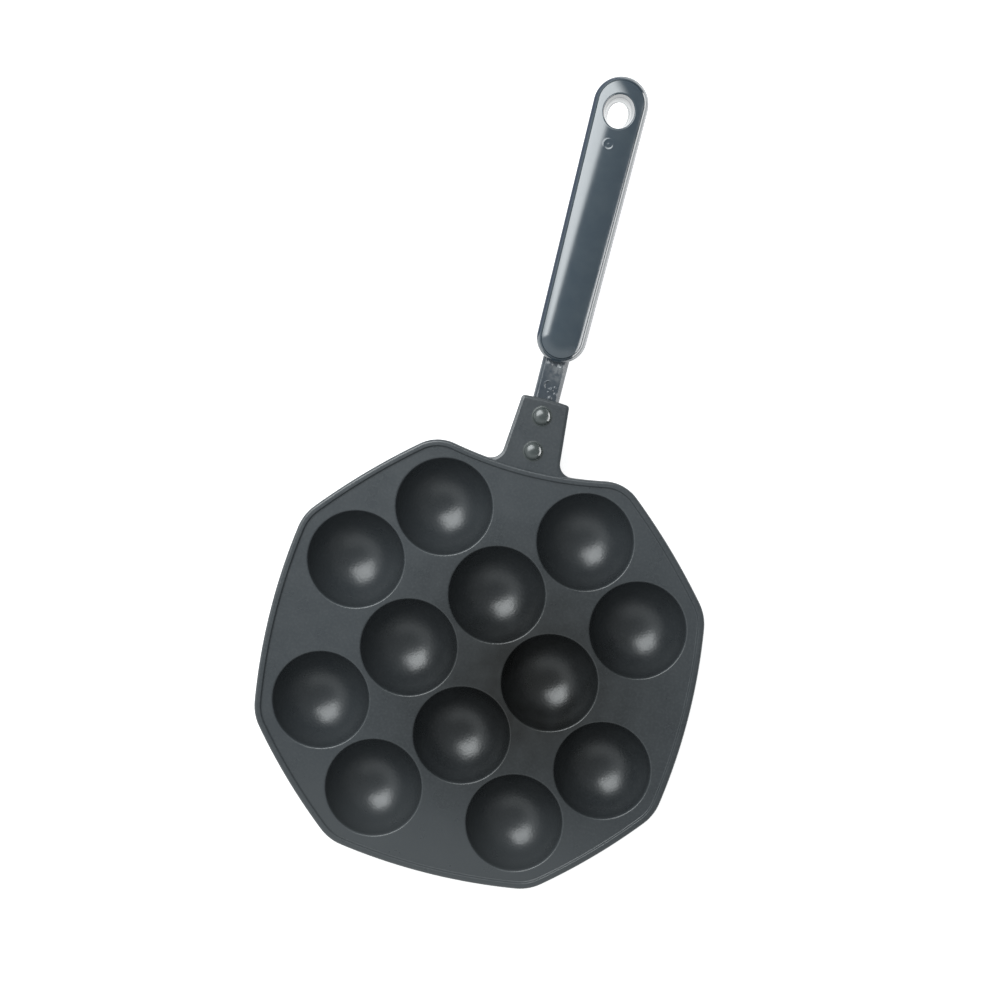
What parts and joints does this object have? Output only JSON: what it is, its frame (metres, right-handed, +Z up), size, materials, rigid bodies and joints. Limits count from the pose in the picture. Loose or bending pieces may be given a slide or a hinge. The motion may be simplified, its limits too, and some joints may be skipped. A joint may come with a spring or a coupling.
{
  "type": "takoyaki maker",
  "caption": "Stovetop takoyaki pan: a rimmed cast plate with rows of round bowls, and a riveted tang that carries a slim black grip with a hanging hole.",
  "frame": {"origin": "on the resting plane, in the middle of the overall length and width", "axes": "+Z up, out of the bowls; +Y from the pan to the hanging end of the grip; +X to the right when seen from above with the grip pointing away"},
  "size_m": [0.1788, 0.3373, 0.0339],
  "materials": {
    "coated_casting": "dark grey non-stick coating, fine sandy texture, satin",
    "painted_steel": "dark slate paint, glossy",
    "rivet_metal": "dark grey, semi-gloss",
    "grip_moulding": "black phenolic moulding, glossy",
    "screw_steel": "plain zinc-plated steel",
    "insert_brass": "plain turned brass"
  },
  "bodies": {
    "root": {"pan_casting": "coated_casting", "handle_tang": "painted_steel", "lug_rivet_1": "rivet_metal", "lug_rivet_2": "rivet_metal", "grip_upper": "grip_moulding", "grip_lower": "grip_moulding", "grip_screw_1": "screw_steel", "grip_screw_2": "screw_steel", "grip_insert_1": "insert_brass", "grip_insert_2": "insert_brass"}
  },
  "joints": []
}
